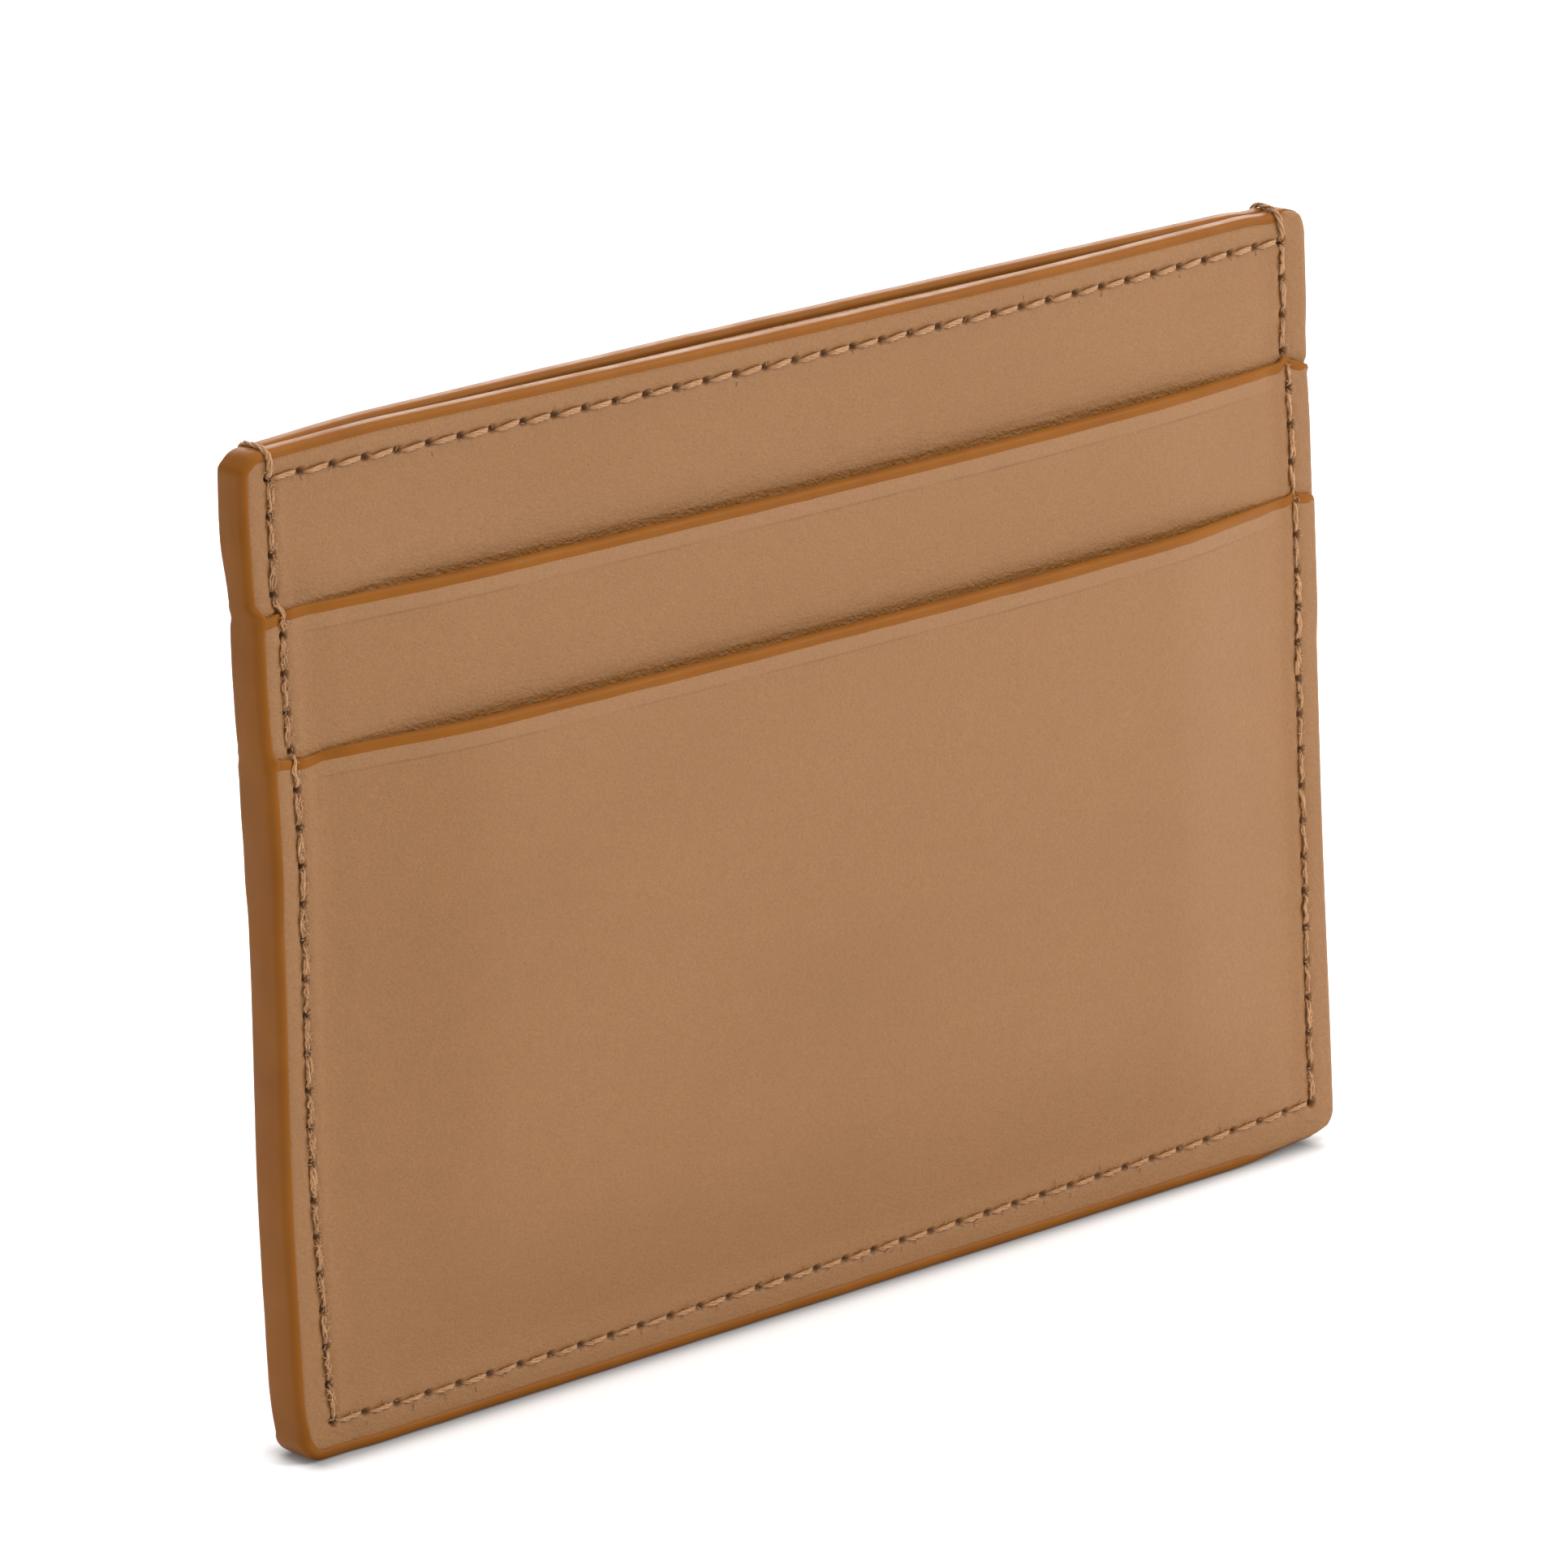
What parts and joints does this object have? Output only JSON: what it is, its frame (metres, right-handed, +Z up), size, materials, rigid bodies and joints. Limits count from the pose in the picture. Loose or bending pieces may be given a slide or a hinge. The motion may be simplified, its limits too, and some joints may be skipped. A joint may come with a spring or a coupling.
{
  "type": "card holder",
  "caption": "Flat leather card holder with two stepped card pockets on each face, a centre pocket open at the top, painted edges and stitched seams.",
  "frame": {"origin": "middle of the bottom edge, on the surface that the holder stands on", "axes": "+X along the width, to the right seen from the front; -Y out of the front face; +Z up to the open top edge"},
  "size_m": [0.102, 0.0092, 0.0753],
  "materials": {
    "calf_leather": "smooth fine-grain tan calf leather, satin",
    "lining": "tan split leather with a short nap, matt",
    "edge_paint": "rounded orange-brown edge paint, glossy",
    "cement": "dried contact cement",
    "thread": "twisted polyester thread, light tan"
  },
  "bodies": {
    "root": {"front_body_panel": "calf_leather", "front_upper_pocket": "calf_leather", "front_lower_pocket": "calf_leather", "back_body_panel": "calf_leather", "back_upper_pocket": "calf_leather", "back_lower_pocket": "calf_leather", "front_body_lining": "lining", "back_body_lining": "lining", "front_upper_pocket_lining": "lining", "front_lower_pocket_lining": "lining", "back_upper_pocket_lining": "lining", "back_lower_pocket_lining": "lining", "left_edge_paint": "edge_paint", "right_edge_paint": "edge_paint", "bottom_edge_paint": "edge_paint", "front_top_edge_paint": "edge_paint", "back_top_edge_paint": "edge_paint", "front_upper_mouth_paint": "edge_paint", "front_lower_mouth_paint": "edge_paint", "back_upper_mouth_paint": "edge_paint", "back_lower_mouth_paint": "edge_paint", "centre_glue": "cement", "front_upper_glue": "cement", "front_lower_glue": "cement", "back_upper_glue": "cement", "back_lower_glue": "cement", "front_seam_thread": "thread", "back_seam_thread": "thread", "front_top_thread_outer": "thread", "front_top_thread_inner": "thread", "back_top_thread_outer": "thread", "back_top_thread_inner": "thread", "left_corner_thread": "thread", "right_corner_thread": "thread"}
  },
  "joints": []
}
